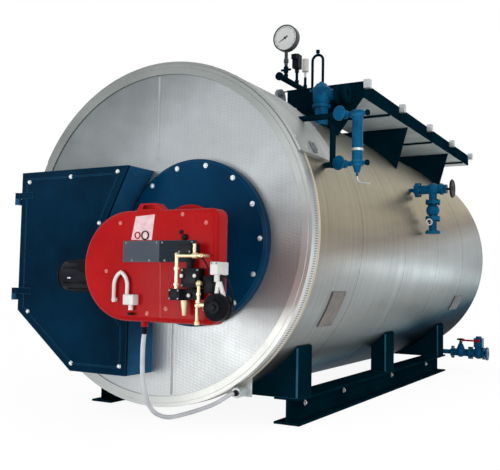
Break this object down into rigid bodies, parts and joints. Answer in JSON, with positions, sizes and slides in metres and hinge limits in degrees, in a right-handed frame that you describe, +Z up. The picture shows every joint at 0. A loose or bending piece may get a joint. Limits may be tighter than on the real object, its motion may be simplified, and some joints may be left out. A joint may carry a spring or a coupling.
{
  "type": "industrial boiler",
  "caption": "Horizontal fire-tube boiler on rails, with a hinged smoke box door, a monobloc burner, a top walkway, gauges and hand-operated valves.",
  "frame": {"origin": "on the ground, midway between the four anchor holes of the two rails", "axes": "+X to the right seen from the burner end, +Y along the shell to the rear, +Z up"},
  "size_m": [2.181, 5.364, 2.58],
  "materials": {
    "clad_sheet": "brushed beige-grey sheet",
    "stucco_sheet": "embossed sheet, satin",
    "trim_sheet": "satin",
    "navy_paint": "gloss",
    "dark_paint": "semi-gloss",
    "red_paint": "gloss",
    "blue_paint": "gloss",
    "black_plastic": "satin",
    "grey_panel": "satin",
    "dark_panel": "satin",
    "white_plastic": "satin",
    "brass_pipe": "satin",
    "galvanised": "matt galvanised",
    "cable_grey": "matt"
  },
  "bodies": {
    "boiler": {"shell_cladding": "clad_sheet", "front_plate": "stucco_sheet", "front_ring": "trim_sheet", "top_hood": "trim_sheet", "rear_plate": "clad_sheet", "side_cover_front": "clad_sheet", "side_cover_rear": "clad_sheet", "rear_smoke_box": "dark_paint", "flue_collar": "dark_paint", "rail_left": "dark_paint", "rail_right": "dark_paint", "stand_front": "dark_paint", "stand_middle": "dark_paint", "stand_rear": "dark_paint", "smoke_box": "navy_paint", "burner_plate": "navy_paint", "burner_neck": "red_paint", "burner_casing": "red_paint", "burner_cover": "red_paint", "burner_panel_left": "grey_panel", "burner_panel_right": "dark_panel", "burner_motor": "black_plastic", "junction_box": "white_plastic", "valve_block": "black_plastic", "fuel_pipes": "brass_pipe", "fuel_pump": "black_plastic", "air_servo": "white_plastic", "walkway_frame": "dark_paint", "walkway_deck": "galvanised", "walkway_joists": "dark_paint", "walkway_gussets": "dark_paint", "rail_sockets": "galvanised", "lifting_lug": "galvanised", "gauge_manifold": "dark_paint", "pressure_gauge": "white_plastic", "pressure_switch": "black_plastic", "pressure_transmitter": "white_plastic", "safety_valve": "blue_paint", "safety_outlet": "dark_paint", "water_column": "blue_paint", "column_piping": "dark_paint", "feed_valves": "blue_paint", "drain_valves": "blue_paint", "cable_bracket": "galvanised", "power_cable": "cable_grey"},
    "door": {"smoke_door": "navy_paint"},
    "feed_wheel": {"feed_handwheel": "black_plastic"},
    "drain_wheel": {"drain_handwheel": "black_plastic"},
    "lever": {"blowdown_lever": "red_paint"}
  },
  "joints": [
    {"name": "smoke_door_hinge", "type": "hinge", "parent": "boiler", "child": "door", "pos_m": [-0.872, -2.2025, 1.073], "axis": [0, 0, -1], "range_deg": [0, 110]},
    {"name": "feed_wheel_turn", "type": "hinge", "parent": "boiler", "child": "feed_wheel", "pos_m": [1.186, 0.104, 1.528], "axis": [1, 0, 0], "range_deg": [0, 720]},
    {"name": "drain_wheel_turn", "type": "hinge", "parent": "boiler", "child": "drain_wheel", "pos_m": [0.893, 1.632, 0.3], "axis": [0, 0, 1], "range_deg": [0, 720]},
    {"name": "blowdown_lever_swing", "type": "hinge", "parent": "boiler", "child": "lever", "pos_m": [1.058, 1.584, 0.297], "axis": [0, 1, 0], "range_deg": [0, 90]}
  ]
}
